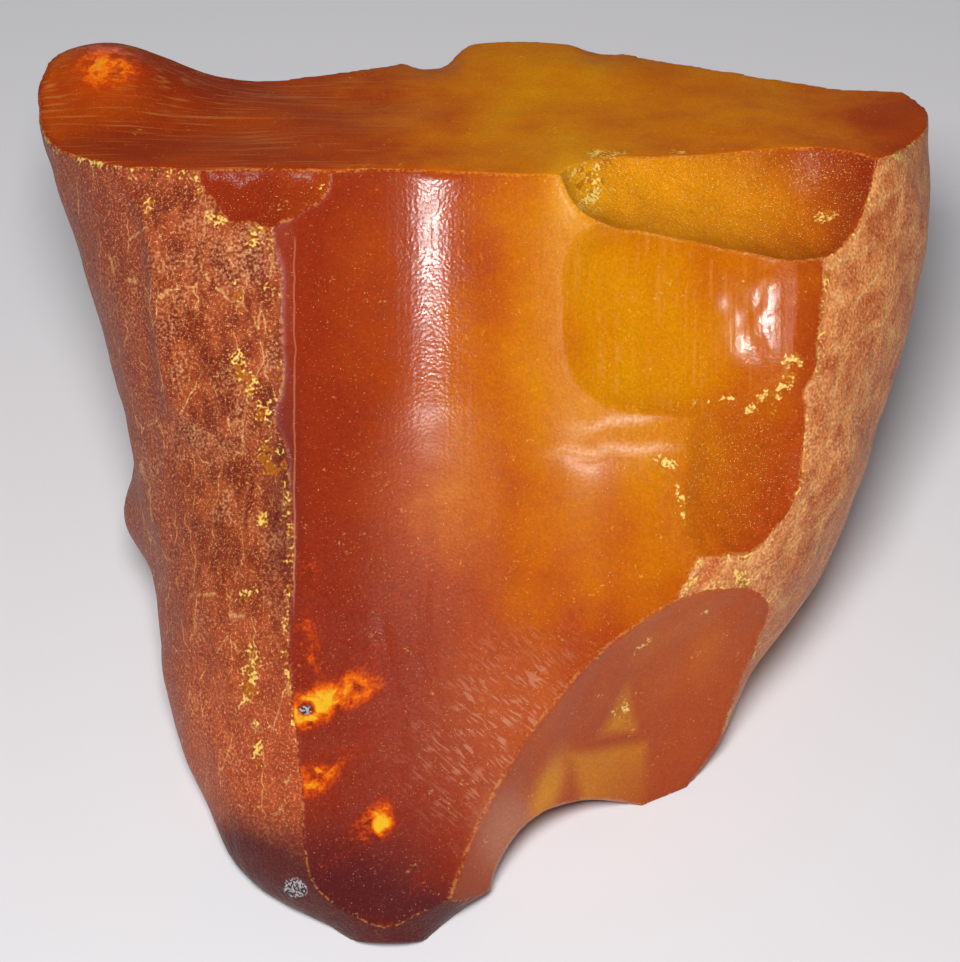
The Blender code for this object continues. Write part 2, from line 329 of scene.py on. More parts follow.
def face_height(x, s):
    """The broken front face: channel, flank, fall to the right and towards the tip."""
    fade = 1.0 - CHANNEL_FADE * np.clip((LOWER_START - s) / LOWER_LENGTH, 0.0, 1.0)
    channel = CHANNEL_DEPTH * fade * np.exp(-((x - CHANNEL_X) / CHANNEL_WIDTH) ** 2)
    past_flank = np.maximum(FLANK_X - x, 0.0)
    flank = FLANK_SLOPE * past_flank - FLANK_RISE * np.maximum(past_flank - FLANK_WIDTH, 0.0)
    right_fall = RIGHT_FALL * np.maximum(x - RIGHT_FALL_START, 0.0) ** 2
    lower_fall = np.maximum(LOWER_START - s, 0.0) ** 2 / (2.0 * LOWER_FALL_RADIUS)
    wave = waves(x, s, np.zeros(x.shape), FACE_WAVES)
    stripes = STRIPE_HEIGHT * waves(x, s / STRIPE_STRETCH, np.zeros(x.shape), STRIPE_WAVES)
    wave += stripes * np.exp(-((x - STRIPE_X) / STRIPE_HALF_WIDTH) ** 4)
    for start_x, start_s, end_x, end_s, height, half_width in FLOW_RIDGES:
        along = np.clip((s - start_s) / (end_s - start_s), -0.2, 1.2)
        gap = x - start_x - along * (end_x - start_x) + FLOW_RIDGE_SWAY * np.sin(FLOW_RIDGE_TURN * s)
        fade = np.clip(6.0 * along * (1.0 - along), 0.0, 1.0)
        wave += height * np.exp(-(gap / half_width) ** 2) * fade
    for below, across, height in ledges(x, s):
        step = np.clip(below / LEDGE_DROP, 0.0, 1.0) * np.exp(-np.maximum(below, 0.0) / LEDGE_RETURN)
        wave -= height * step * across
    return FACE_LEVEL - channel - flank - right_fall - lower_fall + wave


def top_height(across, back):
    """The top break: level, with slow waves and two swellings."""
    rise = waves(across, back, np.full(across.shape, 7.0), TOP_WAVES)
    for centre_across, centre_back, radius_across, radius_back, height in TOP_SWELLINGS:
        gap_across = (across - centre_across) / radius_across
        gap_back = (back - centre_back) / radius_back
        rise += height * np.exp(-0.5 * (gap_across ** 2 + gap_back ** 2))
    for middle, half_width, depth in TOP_NOTCHES:
        notch = np.exp(-(((across - middle) / half_width) ** 4))
        rise -= depth * notch * np.clip(back / TOP_NOTCH_START - 1.0, 0.0, 1.0) ** 2
    return rise


def shell_height(half_width, half_length, depth, curve, ripple_length, ripple_height, ragged):
    """A shell-shaped hollow with ripples spreading from one end, as in broken glass."""
    def height(across, along):
        bowl = np.abs(across / half_width) ** curve[0] + np.abs(along / half_length) ** curve[1]
        bowl *= depth
        bowl += ragged * waves(across, along, np.full(across.shape, depth), SHELL_RAGGED)
        if ripple_length == 0.0:
            return bowl
        radius = np.hypot(across - RIPPLE_START * half_width, along)
        radius += waves(across, along, np.zeros(across.shape), RIPPLE_WAVER)
        return bowl + ripple_height * np.sin(2.0 * math.pi * radius / ripple_length)
    return height


def make_cutters():
    """One cutter for each break, the largest first, and a block for the resting flat."""
    face_reach, top_reach = (FACE_REACH, FACE_REACH), (TOP_REACH, TOP_REACH)
    cutters = [
        make_cutter("face", (0.0, 0.0, 0.0), (0.0, 0.0, 1.0), face_reach, FACE_SPACING, face_height),
        make_cutter("top", TOP_CENTRE, TOP_FACING, top_reach, TOP_SPACING, top_height),
    ]
    for row in SHELL_BREAKS:
        name, point, facing, half_width, half_length, depth, *curve, spacing = row[:9]
        reach = (SHELL_REACH * half_width, SHELL_REACH * half_length)
        height = shell_height(half_width, half_length, depth, curve, *row[9:])
        cutters.append(make_cutter(name, point, facing, reach, spacing, height))
    bm = bmesh.new()
    bmesh.ops.create_cube(bm, size=FLOOR_SIZE * MM)
    bmesh.ops.translate(bm, vec=(0.0, 0.0, -0.5 * FLOOR_SIZE * MM), verts=bm.verts)
    rest = plain_mesh("rest", bm, "rest")
    rest.data.transform(face_to_world.inverted())
    return cutters + [rest]


def break_stone(nodule, cutters):
    """Cut every break from the nodule and return the result as one mesh."""
    for cutter in cutters:
        cut = nodule.modifiers.new(cutter.name, "BOOLEAN")
        cut.operation = "DIFFERENCE"
        cut.solver = "MANIFOLD"
        cut.object = cutter
    bpy.context.view_layer.update()
    evaluated = nodule.evaluated_get(bpy.context.evaluated_depsgraph_get())
    mesh = bpy.data.meshes.new_from_object(evaluated)
    for obj in [nodule] + cutters:
        bpy.data.objects.remove(obj, do_unlink=True)
    return mesh


face_to_world = Matrix.Rotation(FACE_LEAN, 4, "X")
face_to_world.translation = (0.0, 0.0, FACE_HEIGHT * MM)

stone_mesh = break_stone(make_nodule(), make_cutters())

# Short edges that the cuts leave are closed up, and the ridges are worn a little round
MERGE_GAP = 0.05
DEGENERATE_LENGTH = 1e-4
WEAR_REACH = 0.45
WEAR_ROUNDS = 4
WEAR_SHARE = 0.35
# Where the scoops meet the face their shared ridge is flowed away, but not near a crisp one
MELT_REACH = 0.9
MELT_SPREAD = 1.6
MELT_CLEARANCE = 0.3
MELT_SHARE = 0.5
MELT_ROUNDS = 5

bm = bmesh.new()
bm.from_mesh(stone_mesh)
bmesh.ops.remove_doubles(bm, verts=bm.verts, dist=MERGE_GAP * MM)
bmesh.ops.dissolve_degenerate(bm, edges=bm.edges, dist=DEGENERATE_LENGTH * MM)
bmesh.ops.triangulate(bm, faces=bm.faces)
bm.verts.ensure_lookup_table()
points = np.array([vert.co for vert in bm.verts]) / MM
SOFT_SURFACES = {SURFACES.index(name) for name in ("face", "shell_scoop", "grain_hollow")}
crisp, mild = [], []
for vert in bm.verts:
    meeting = {face.material_index for face in vert.link_faces}
    if len(meeting) > 1:
        (mild if meeting <= SOFT_SURFACES else crisp).append(vert.index)


def gap_to(indices):
    """Every point's distance to the nearest of the given points."""
    tree = kdtree.KDTree(len(indices))
    for index in indices:
        tree.insert(points[index], index)
    tree.balance()
    return np.array([tree.find(point)[2] for point in points])


ridge_gap, mild_gap = gap_to(crisp), gap_to(mild)
shares = np.zeros((len(points), len(SURFACES)))
for face in bm.faces:
    for vert in face.verts:
        shares[vert.index, face.material_index] += 1.0
shares /= shares.sum(axis=1, keepdims=True)
edges = np.array([[edge.verts[0].index, edge.verts[1].index] for edge in bm.edges])


def neighbour_mean(values):
    """Each point's mean over the points next to it."""
    total = np.zeros_like(values)
    count = np.zeros(len(values))
    for near, far in ((0, 1), (1, 0)):
        np.add.at(total, edges[:, near], values[edges[:, far]])
        np.add.at(count, edges[:, near], 1.0)
    return total / count.reshape((-1,) + (1,) * (values.ndim - 1))


on_rest = shares[:, SURFACES.index("rest")] > 0.0
wear = np.clip(1.0 - ridge_gap / WEAR_REACH, 0.0, 1.0) * WEAR_SHARE
wear[on_rest] = 0.0
melt = np.clip(MELT_SPREAD - mild_gap / MELT_REACH, 0.0, 1.0)
melt *= np.clip(ridge_gap / MELT_REACH - MELT_CLEARANCE, 0.0, 1.0)
for _ in range(WEAR_ROUNDS):
    points += wear[:, None] * (neighbour_mean(points) - points)
for _ in range(MELT_ROUNDS):
    points += MELT_SHARE * melt[:, None] * (neighbour_mean(points) - points)
for vert, point in zip(bm.verts, points):
    vert.co = point * MM
bm.to_mesh(stone_mesh)
bm.free()
stone_mesh.update()

# What each point belongs to, for the finish: rind or fresh break, and how near a ridge it is
def soften(values, rounds):
    """Spread a mask over its neighbours, so that its edge isn't a stair."""
    for _ in range(rounds):
        values = 0.5 * (values + neighbour_mean(values))
    return values


def share_of(*names):
    """How much of each point's surroundings belongs to the named surfaces."""
    return sum(shares[:, SURFACES.index(name)] for name in names)


def patch(centre_x, centre_s, half_x, half_s, turn=0.0):
    """A soft oval on the front face, turned by so many degrees."""
    cos_turn, sin_turn = math.cos(math.radians(turn)), math.sin(math.radians(turn))
    u = (x - centre_x) * cos_turn + (s - centre_s) * sin_turn
    v = (s - centre_s) * cos_turn - (x - centre_x) * sin_turn
    return np.exp(-((u / half_x) ** 2 + (v / half_s) ** 2) ** 1.5)


def patches_of(table):
    """The patches of a table, added up."""
    return sum(strength * patch(*place) for *place, strength in table)


def facet(corners, soft):
    """A crisp convex patch, its corners given as x and s, counter-clockwise."""
    inside = np.full(x.shape, 9.0)
    for (x1, s1), (x2, s2) in zip(corners, corners[1:] + corners[:1]):
        side = (x2 - x1) * (s - s1) - (s2 - s1) * (x - x1)
        inside = np.minimum(inside, side / math.hypot(x2 - x1, s2 - s1))
    return np.clip(0.5 + inside / soft, 0.0, 1.0)


# The tables hold soft ovals on the front face: x, s, half sizes, turn in degrees, strength.
# Clear windows at the lower left, where light comes out of the stone
GLOW_WINDOWS = (
    (-11.2, -5.8, 1.2, 2.2, 0.0, 0.5),
    (-11.4, -11.0, 1.2, 2.6, 0.0, 0.8),
    (-11.6, -15.4, 1.8, 1.3, 10.0, 1.2),
    (-9.2, -14.2, 3.4, 1.2, 18.0, 1.15),
    (-7.4, -11.4, 3.4, 1.3, 32.0, 0.45),
    (-11.4, -19.8, 2.4, 1.5, 12.0, 0.95),
    (-7.8, -17.4, 3.4, 1.2, 34.0, 0.45),
    (-6.7, -22.7, 1.6, 1.4, 0.0, 0.6),
    (-6.7, -22.7, 0.6, 0.55, 0.0, 1.2),
    (-6.0, -21.2, 2.6, 1.0, 50.0, 0.4),
    (-9.0, -24.4, 3.4, 1.2, 38.0, 0.4),
    (-3.4, -26.6, 3.0, 1.2, 24.0, 0.4),
    (-6.4, -29.4, 1.6, 0.7, 0.0, 0.5),
)
# Golden chips in the rind along the edge of the face
CHIPS = (
    (-21.9, 18.2, 0.5, 0.7, 0.0, 0.9),
    (-17.4, 17.4, 1.0, 0.5, -20.0, 1.0),
    (-15.0, 15.9, 0.5, 1.3, 10.0, 0.9),
    (-16.0, 12.2, 0.5, 1.1, 0.0, 0.9),
    (-14.6, 13.0, 0.7, 0.5, 0.0, 0.8),
    (-15.4, 7.0, 0.9, 2.0, 30.0, 0.95),
    (-14.4, 4.6, 0.6, 0.8, 0.0, 0.9),
    (-14.0, 1.4, 0.7, 1.5, 10.0, 1.0),
    (-14.4, -2.6, 0.4, 0.7, 0.0, 0.9),
    (-15.6, -7.6, 1.0, 0.7, 30.0, 0.9),
    (-15.4, -12.8, 0.8, 2.8, -8.0, 0.95),
    (-14.8, -17.6, 0.5, 1.8, 5.0, 0.85),
    (24.8, 21.4, 0.8, 1.2, 0.0, 0.8),
    (21.6, 11.2, 0.6, 1.2, 20.0, 0.9),
    (21.4, 8.0, 0.8, 1.0, 20.0, 0.95),
    (20.6, 5.0, 0.9, 1.0, 0.0, 0.95),
    (20.8, 2.6, 0.7, 0.9, 0.0, 0.9),
    (17.4, -6.6, 0.6, 0.9, 30.0, 1.0),
    (15.8, -9.4, 0.6, 0.5, 30.0, 1.0),
    (23.2, 14.2, 0.7, 1.6, -20.0, 0.8),
)
# Golden streaks and crumbs on fresh amber
STREAKS = (
    (9.6, -15.8, 0.55, 1.1, 20.0, 1.1),
    (11.8, -10.2, 2.4, 0.10, 38.0, 0.8),
    (14.6, -8.9, 2.2, 0.09, 14.0, 0.7),
    (8.2, 21.9, 0.9, 0.6, -30.0, 1.2),
    (9.8, 22.3, 1.2, 0.25, 10.0, 1.0),
    (13.4, 22.2, 0.8, 0.3, 0.0, 0.9),
    (23.2, 17.9, 0.9, 0.4, 10.0, 1.0),
    (12.2, 1.2, 0.9, 0.35, -20.0, 1.1),
    (7.2, 19.6, 1.4, 1.8, 0.0, 0.8),
    (13.2, -1.2, 0.3, 2.8, 12.0, 0.8),
    (20.4, 7.2, 0.7, 2.4, -20.0, 0.85),
    (18.6, 5.4, 1.6, 0.4, 35.0, 0.8),
    (15.8, 5.4, 1.4, 0.2, 5.0, 0.8),
    (-10.5, 19.6, 0.7, 0.25, 10.0, 0.9),
)
# Dark red round the windows: deep red amber with the red fringe of their glow painted in, and smoky amber
# over them
HALOES = ((-11.0, -13.0, 4.2, 10.5, -12.0, 1.0), (-6.4, -23.0, 4.5, 4.0, 0.0, 1.0))
SMOKE = ((-8.0, -16.0, 6.5, 14.0, -8.0, 1.0),)
# Dusky purple at the tip and down the left edge of the face
DUSK = (
    (-9.6, -27.6, 9.0, 4.6, -8.0, 1.0),
    (-13.0, -1.0, 1.3, 9.0, 0.0, 0.5),
    (-16.5, -26.0, 3.4, 4.0, 40.0, 0.7),
    (-4.0, -31.0, 9.0, 3.0, 0.0, 1.0),
)
# Two specks of dirt
GRIT = ((-12.3, -27.0, 0.85, 0.75, 0.0, 1.0), (-11.5, -15.1, 0.5, 0.4, 0.0, 1.0))
# A hazy, hackled place whose pale pink is partly painted sheen, a bruised pale one, and frosty and grainy
# ones
HAZE = ((1.2, -16.5, 4.6, 6.5, -35.0, 1.0),)
BRUISE = ((1.9, -23.6, 2.0, 3.0, 0.0, 0.8),)
FROST = ((9.4, 3.2, 4.4, 2.2, 0.0, 1.0), (5.0, 12.0, 1.6, 5.0, 0.0, 0.6))
GRAINS = ((17.2, 0.6, 4.4, 5.0, 0.0, 1.0),)
# Yellow amber in the bevel and in the upper scoop; the upper scoop faces up, and its yellow is partly
# painted light
BEVEL_HONEY = ((4.6, -20.8, 0.9, 2.6, -20.0, 0.6),)
BEVEL_FACETS = (
    (0.55, 1.0, ((8.4, -17.0), (10.4, -16.8), (9.8, -14.2))),
    (0.4, 0.7, ((6.1, -18.4), (7.1, -22.3), (11.5, -22.3), (11.4, -17.9))),
)
SCOOP_HONEY_AND_LIGHT = ((13.0, 19.6, 8.5, 4.2, -8.0, 0.55),)
SCOOP_END_HONEY = ((6.6, 19.4, 2.0, 2.4, 0.0, 0.7),)
# The honey-coloured core: its middle, and its half sizes to the left, right, up and back
CORE_PLACE = (6.5, 9.5, -9.0)
CORE_SIZES = (13.6, 19.0, 28.0, 32.0)
CLOUD_WAVES = ((9.0, 0.24), (4.0, 0.12))
CLOUD_STREAKS = ((2.4, 0.10),)
# The redness of the top break from its left end to its right
TOP_PLACES = (-30.0, -22.0, -17.0, -8.0, -2.0, 6.0, 12.0, 20.0, 30.0)
TOP_REDNESS = (0.80, 1.25, 1.10, 0.80, 0.50, 0.22, 0.42, 0.45, 0.95)
SWAY_WAVES = ((3.4, 0.7), (1.5, 0.35))


def ramp_of(values, zero_at, one_at):
    """0 at one value and 1 at another, straight between."""
    return np.clip((values - zero_at) / (one_at - zero_at), 0.0, 1.0)


x, s, z = points.T
rind_share = soften(share_of("rind"), 1)
in_front = ramp_of(z, -12.0, -8.0)
fresh_front = in_front * (1.0 - share_of("rind"))
left_end = np.exp(-(((x + 26.6) / 3.2) ** 2 + ((z + 19.0) / 4.0) ** 2)) * share_of("top")
grit = patches_of(GRIT)
glow = np.clip(0.78 * patches_of(GLOW_WINDOWS) * fresh_front + 0.85 * soften(left_end, 2), 0.0, 1.4)
glow *= 1.0 - np.clip(1.5 * grit, 0.0, 1.0)
edge_chips = ramp_of(ridge_gap, 1.1, 0.0) * ramp_of(s, -22.0, -16.0) * ramp_of(z, -16.0, -10.0)
chips = np.maximum(patches_of(CHIPS) * in_front, 0.62 * edge_chips)
haze = patches_of(HAZE) * share_of("face")
smoke = patches_of(SMOKE) * in_front
frost = np.clip(1.5 - mild_gap / 1.2, 0.0, 1.0) * in_front + patches_of(FROST)
frost = np.clip(frost, 0.0, 1.0)
grainy = np.maximum(patches_of(GRAINS), soften(share_of("upper_scoop"), 2))
grainy = np.clip(np.maximum(grainy, 0.4 * share_of("edge_chip")), 0.0, 1.0)
# Painted highlight: pale crests on the ledge steps, where they would catch the light
crest = sum(np.exp(-((below - 0.05) / 0.3) ** 2) * across for below, across, _ in ledges(x, s))
honey = patches_of(BEVEL_HONEY) + patches_of(SCOOP_END_HONEY)
honey += sum(strength * facet(corners, soft) for strength, soft, corners in BEVEL_FACETS)
# The upper scoop faces up: its yellow is partly painted light
honey += patches_of(SCOOP_HONEY_AND_LIGHT) * share_of("upper_scoop")
channel = share_of("face") * np.exp(-((x + 3.0) / 4.5) ** 4)
scoop = soften(share_of("shell_scoop"), 1)
left_wall_edge = -19.4 - 0.19 * np.maximum(s - 5.0, 0.0)

# How far each point is from the honey core, 0 in its middle and 1 at the red rim, with clouds
core_left, core_right, core_up, core_back = CORE_SIZES
core_x, core_s, core_z = CORE_PLACE
core = ((x - core_x) / np.where(x < core_x, core_left, core_right)) ** 2
core += ((s - core_s) / core_up) ** 2 + ((z - core_z) / core_back) ** 2
facets = waves(x, z / 2.5, x * 0.0, ((3.4, 1.0),))
top_depth = np.round(facets * 3.0) * 0.05 + np.interp(x, TOP_PLACES, TOP_REDNESS)
top_share = soften(share_of("top"), 1)
depth = np.sqrt(core) * (1.0 - top_share) + top_depth * top_share
depth += waves(x, s, z, CLOUD_WAVES) + waves(x, s / 4.0, z, CLOUD_STREAKS)
depth -= 0.35 * share_of("edge_chip")

# Heights of the finest relief in millimetres, and how dull the surface is
tooth = 0.003 + 0.04 * grainy + 0.01 * frost + 0.005 * channel + 0.01 * smoke
striae = 0.006 * channel + 0.016 * frost + 0.005 * scoop
dullness = 0.21 - 0.05 * channel - 0.06 * scoop + 0.1 * grainy + 0.14 * haze + 0.2 * frost
dullness += 0.14 * ramp_of(ridge_gap, 0.4, 0.1) + 0.22 * channel * ramp_of(s, 7.0, -1.0)
attributes = {
    "rind": rind_share,
    "chips": chips,
    "streaks": patches_of(STREAKS) * fresh_front,
    "depth": depth,
    "ridge_gap": ridge_gap,
    "glow": glow,
    "haze": haze,
    "outer_wall": ramp_of(left_wall_edge - x, 0.0, 1.4),
    "dusk": np.clip(patches_of(DUSK), 0.0, 1.0) * in_front,
    "honey": honey * in_front,
    "top": top_share,
    "grain": grainy,
    "tooth": tooth,
    "striae": striae,
    "dullness": dullness,
    "bruise": patches_of(BRUISE) * in_front,
    "grit": grit,
    "halo": np.clip(patches_of(HALOES), 0.0, 1.0) * in_front,
    "smoke": smoke,
    "crest": crest * share_of("face"),
    "sway": waves(x, s, z, SWAY_WAVES),
    "bevel": soften(share_of("lower_bevel", "foot_bite"), 1),
    "scoop": scoop,
}
for name, values in attributes.items():
    layer = stone_mesh.attributes.new(name, "FLOAT", "POINT")
    layer.data.foreach_set("value", np.asarray(values, dtype=np.float32))

SHARP_ANGLE = 60.0

stone_mesh.polygons.foreach_set("material_index", np.zeros(len(stone_mesh.polygons), dtype=np.int32))
stone_mesh.materials.clear()
stone_mesh.shade_smooth()
stone_mesh.set_sharp_from_angle(angle=math.radians(SHARP_ANGLE))
stone_mesh.transform(face_to_world)
corners = np.empty(len(stone_mesh.vertices) * 3)
stone_mesh.vertices.foreach_get("co", corners)
corners = corners.reshape(-1, 3)
low, high = (Vector(corner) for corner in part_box("amber_piece"))
shift = 0.5 * (low + high) - Vector(0.5 * (corners.min(axis=0) + corners.max(axis=0)))
shift.z = 0.0
stone_mesh.transform(Matrix.Translation(shift))
face_to_world.translation += shift
stone = bpy.data.objects.new("amber_stone", stone_mesh)
bpy.context.scene.collection.objects.link(stone)


class Wire:
    """A shader socket: arithmetic on it adds the nodes that work it out."""

    def __init__(self, tree, socket):
        self.tree = tree
        self.socket = socket

    def node(self, kind, settings=(), inputs=(), output=0):
        """Any node: its type, its settings, then the values or links of its sockets."""
        made = self.tree.nodes.new(kind)
        for name, value in dict(settings).items():
            if name == "stops":
                ramp = made.color_ramp
                while len(ramp.elements) < len(value):
                    ramp.elements.new(0.5)
                for element, (place, colour) in zip(ramp.elements, value):
                    element.position = place
                    element.color = colour
            else:
                setattr(made, name, value)
        for name, value in dict(inputs).items():
            if isinstance(value, Wire):
                self.tree.links.new(value.socket, made.inputs[name])
            else:
                made.inputs[name].default_value = value
        return Wire(self.tree, made.outputs[output])

    def math(self, operation, *values, clamp=False):
        """A maths node, or a vector maths node where one of the values has three parts."""
        if any(isinstance(value, Wire) and value.socket.type != "VALUE" for value in values):
            values = [value if isinstance(value, (Wire, tuple)) else (value,) * 3 for value in values]
            return self.node("ShaderNodeVectorMath", {"operation": operation}, enumerate(values))
        settings = {"operation": operation, "use_clamp": clamp}
        return self.node("ShaderNodeMath", settings, enumerate(values))

    def __add__(self, other):
        return self.math("ADD", self, other)

    def __radd__(self, other):
        return self.math("ADD", other, self)

    def __sub__(self, other):
        return self.math("SUBTRACT", self, other)

    def __mul__(self, other):
        return self.math("MULTIPLY", self, other)

    def clamped(self):
        """The value kept between 0 and 1."""
        return self.math("ADD", self, 0.0, clamp=True)

    def size(self):
        """The value without its sign."""
        return self.math("ABSOLUTE", self)

    def step(self, low, high):
        """0 below low and 1 above high, smooth between; low may be the larger."""
        settings = {"interpolation_type": "SMOOTHSTEP"}
        inputs = {"Value": self, "From Min": low, "From Max": high}
        return self.node("ShaderNodeMapRange", settings, inputs)

    def noise(self, size, detail=2.0, stretch=(1.0, 1.0, 1.0), offset=0.0):
        """Noise of a grain size in millimetres, drawn out along an axis by its stretch."""
        scale = tuple(1.0 / (size * pull) for pull in stretch)
        inputs = {"Vector": self * scale + (offset,) * 3, "Scale": 1.0, "Detail": detail}
        return self.node("ShaderNodeTexNoise", {}, inputs)

    def cells(self, size, feature="F1", stretch=(1.0, 1.0, 1.0)):
        """Distance to the middle or to the edge of cells of a size in millimetres."""
        scale = tuple(1.0 / (size * pull) for pull in stretch)
        inputs = {"Vector": self * scale, "Scale": 1.0}
        return self.node("ShaderNodeTexVoronoi", {"feature": feature}, inputs)

    def mix(self, first, second):
        """Two colours mixed, this value being the share of the second."""
        settings = {"data_type": "RGBA", "clamp_factor": True}
        return self.node("ShaderNodeMix", settings, {0: self, 6: first, 7: second}, output=2)

    def shade(self, first, second):
        """Two shaders mixed, this value being the share of the second."""
        return self.node("ShaderNodeMixShader", {}, {0: self, 1: first, 2: second})


def colour(red, green, blue):
    """A colour as it looks on a screen, from 0 to 255, as the light it stands for."""
    def linear(value):
        value /= 255.0
        return value / 12.92 if value <= 0.04045 else ((value + 0.055) / 1.055) ** 2.4
    return (linear(red), linear(green), linear(blue), 1.0)


AMBER_IOR = 1.54
GLOSS = 0.2
FRESH_ROUGHNESS_SPREAD = 0.14
SATIN_ROUGHNESS = 0.55
CLEAR_ROUGHNESS = 0.14
SATIN_GLOSS = 0.03
# Painted light: a gain that brightens the top break's colour
TOP_LIGHT_GAIN = (1.5, 1.45, 1.0)
SCATTER_SHARE = 0.25
SCATTER_RADIUS = (1.0, 0.30, 0.06)
SCATTER_SCALE = 1.6 * MM
CLEAR_SHARE = 0.75
GLOW_STRENGTH = 0.6
ABSORB_COLOUR = (1.0, 0.36, 0.03)
ABSORB_DENSITY = 140.0
HAZE_SHEEN_PINK = colour(186, 98, 60)
GLOW_HALO_RED = colour(124, 30, 14)
SMOKE_BROWN = colour(138, 60, 46)
DUSK_PURPLE = colour(72, 26, 32)
BEVEL_ORANGE = colour(204, 92, 16)
BRUISE_PINK = colour(196, 140, 112)
HONEY_YELLOW = colour(230, 156, 14)
GOLD_SHADE = colour(186, 106, 14)
GOLD_GLINT = colour(252, 222, 124)
DUST_AND_SPARKLE_CREAM = colour(250, 206, 130)
HACKLE_SHEEN_PINK = colour(214, 150, 120)
CREST_HIGHLIGHT_CREAM = colour(240, 180, 140)
SCOOP_STRIPE = colour(226, 158, 70)
RIDGE_HIGHLIGHT_TAN = colour(226, 152, 84)
DIRT_DARK = colour(60, 48, 54)
DIRT_PALE = colour(176, 168, 168)
FLANK_HIGHLIGHT_PINK = colour(216, 134, 96)
SEAM_TAN = colour(222, 142, 74)
CORE_TO_RIM = (
    (0.06, colour(206, 136, 6)),
    (0.30, colour(198, 114, 6)),
    (0.50, colour(184, 90, 10)),
    (0.68, colour(164, 64, 14)),
    (0.86, colour(150, 53, 16)),
    (1.0, colour(140, 43, 16)),
)
GLOW_RAMP = (
    (0.0, colour(110, 30, 14)),
    (0.35, colour(190, 52, 6)),
    (0.65, colour(246, 104, 4)),
    (1.0, colour(255, 196, 40)),
)
HACKLE_TURN = 40.0

amber = bpy.data.materials.new("amber")
amber.use_nodes = True
tree = amber.node_tree
tree.nodes.clear()
maker = Wire(tree, None)


def mask(name):
    """One of the stone's own point attributes."""
    return maker.node("ShaderNodeAttribute", {"attribute_name": name}, {}, output=2)


# The place in millimetres in the front face's own frame: x right, s up the face, z out
coordinates = maker.node("ShaderNodeTexCoord", {}, {}, output=3)
place = maker.node("ShaderNodeMapping", {"vector_type": "TEXTURE"}, {
    "Vector": coordinates,
    "Location": tuple(face_to_world.translation),
    "Rotation": (FACE_LEAN, 0.0, 0.0),
    "Scale": (MM, MM, MM),
})
split = maker.node("ShaderNodeSeparateXYZ", {}, {"Vector": place})
px, ps = (Wire(tree, split.socket.node.outputs[index]) for index in range(2))
gap, grain, glow_mask, haze_mask = mask("ridge_gap"), mask("grain"), mask("glow"), mask("haze")
rind = mask("rind")

# Cloudy amber: honey at the core, reddening outwards, with hazy, dusky and yellow places
mottle = place.noise(1.3, detail=1.0, offset=7.0)
fine = place.noise(0.20, detail=0.0, offset=12.0)
spark = place.noise(0.085, detail=0.0, offset=3.0)
redness = mask("depth") * 0.8 + (mottle - 0.5) * 0.16
body = maker.node("ShaderNodeValToRGB", {"stops": CORE_TO_RIM}, {"Fac": redness})
# Pale pink on the hazy place: a rough surface, with painted sheen
body = (haze_mask * 0.3).mix(body, HAZE_SHEEN_PINK)
# Partly painted glow: a dark red fringe round the glowing windows
body = (mask("halo") * 0.6).mix(body, GLOW_HALO_RED)
smoke = mask("smoke") * (mottle * 1.2 + fine * 0.6 - 0.2)
body = (smoke * 0.5).clamped().mix(body, SMOKE_BROWN)
body = (mask("dusk") * 0.85).mix(body, DUSK_PURPLE)
body = (mask("bevel") * 0.3).mix(body, BEVEL_ORANGE)
body = (mask("bruise") * 0.6).mix(body, BRUISE_PINK)
body = mask("honey").mix(body, HONEY_YELLOW)
bent = place + (mottle - 0.5) * 1.6
flat_cells = {"voronoi_dimensions": "2D"}
shard = maker.node("ShaderNodeTexVoronoi", flat_cells, {"Vector": bent, "Scale": 1.9}, output=1)
shard_split = maker.node("ShaderNodeSeparateColor", {}, {"Color": shard})
pick, glint = (Wire(tree, shard_split.socket.node.outputs[index]) for index in range(2))
# Painted glints: some gold cells made bright, as if they caught the light
glint = (glint * 0.7 + fine * 1.1).step(0.80, 1.25)
gold = (mask("streaks") + pick * 0.9 + fine * 0.5 - 1.15).step(0.0, 0.4)
body = (gold * 0.75).mix(body, glint.mix(GOLD_SHADE, GOLD_GLINT))
body = body * ((fine - 0.5) * 0.34 + 1.0)
# Cream specks: dust, with painted sparkle where the light would glint
dust_and_sparkle = (spark + grain * 0.07 + haze_mask * 0.03 + smoke * 0.015).step(0.77, 0.85)
body = (dust_and_sparkle * (grain * 0.2 + 0.45)).mix(body, DUST_AND_SPARKLE_CREAM)
turned = place.node("ShaderNodeMapping", {"vector_type": "POINT"}, {
    "Vector": place, "Rotation": (0.0, 0.0, math.radians(HACKLE_TURN)),
})
hackle = turned.noise(0.32, detail=0.0, stretch=(2.6, 0.6, 1.0))
hackle = hackle.step(0.50, 0.68) * haze_mask * mottle.step(0.35, 0.6)
# Pink hackle lines, partly painted sheen
body = (hackle * 0.4).mix(body, HACKLE_SHEEN_PINK)
# Painted highlight: cream along the ledge crests
body = (mask("crest") * (fine + 0.2)).clamped().mix(body, CREST_HIGHLIGHT_CREAM)
stripes = place.noise(0.30, detail=0.0, stretch=(1.0, 30.0, 8.0), offset=5.0)
scoop_stripes = stripes.step(0.45, 0.90) * mask("scoop") * mottle.step(0.4, 0.6)
body = (scoop_stripes * 0.25).mix(body, SCOOP_STRIPE)
# Painted highlight: a pale line along the worn ridges, in patches
ridge_highlight = gap.step(0.22, 0.04) * (mottle * 0.5 + fine * 0.5).step(0.44, 0.60)
body = (ridge_highlight * 0.4).mix(body, RIDGE_HIGHLIGHT_TAN)
grit = (mask("grit") * (mottle * 1.2 + fine * 1.2 - 0.3)).step(0.3, 0.6)
grit_colour = (fine * 0.7 + spark * 0.5).step(0.56, 0.68).mix(DIRT_DARK, DIRT_PALE)
body = grit.mix(body, grit_colour)
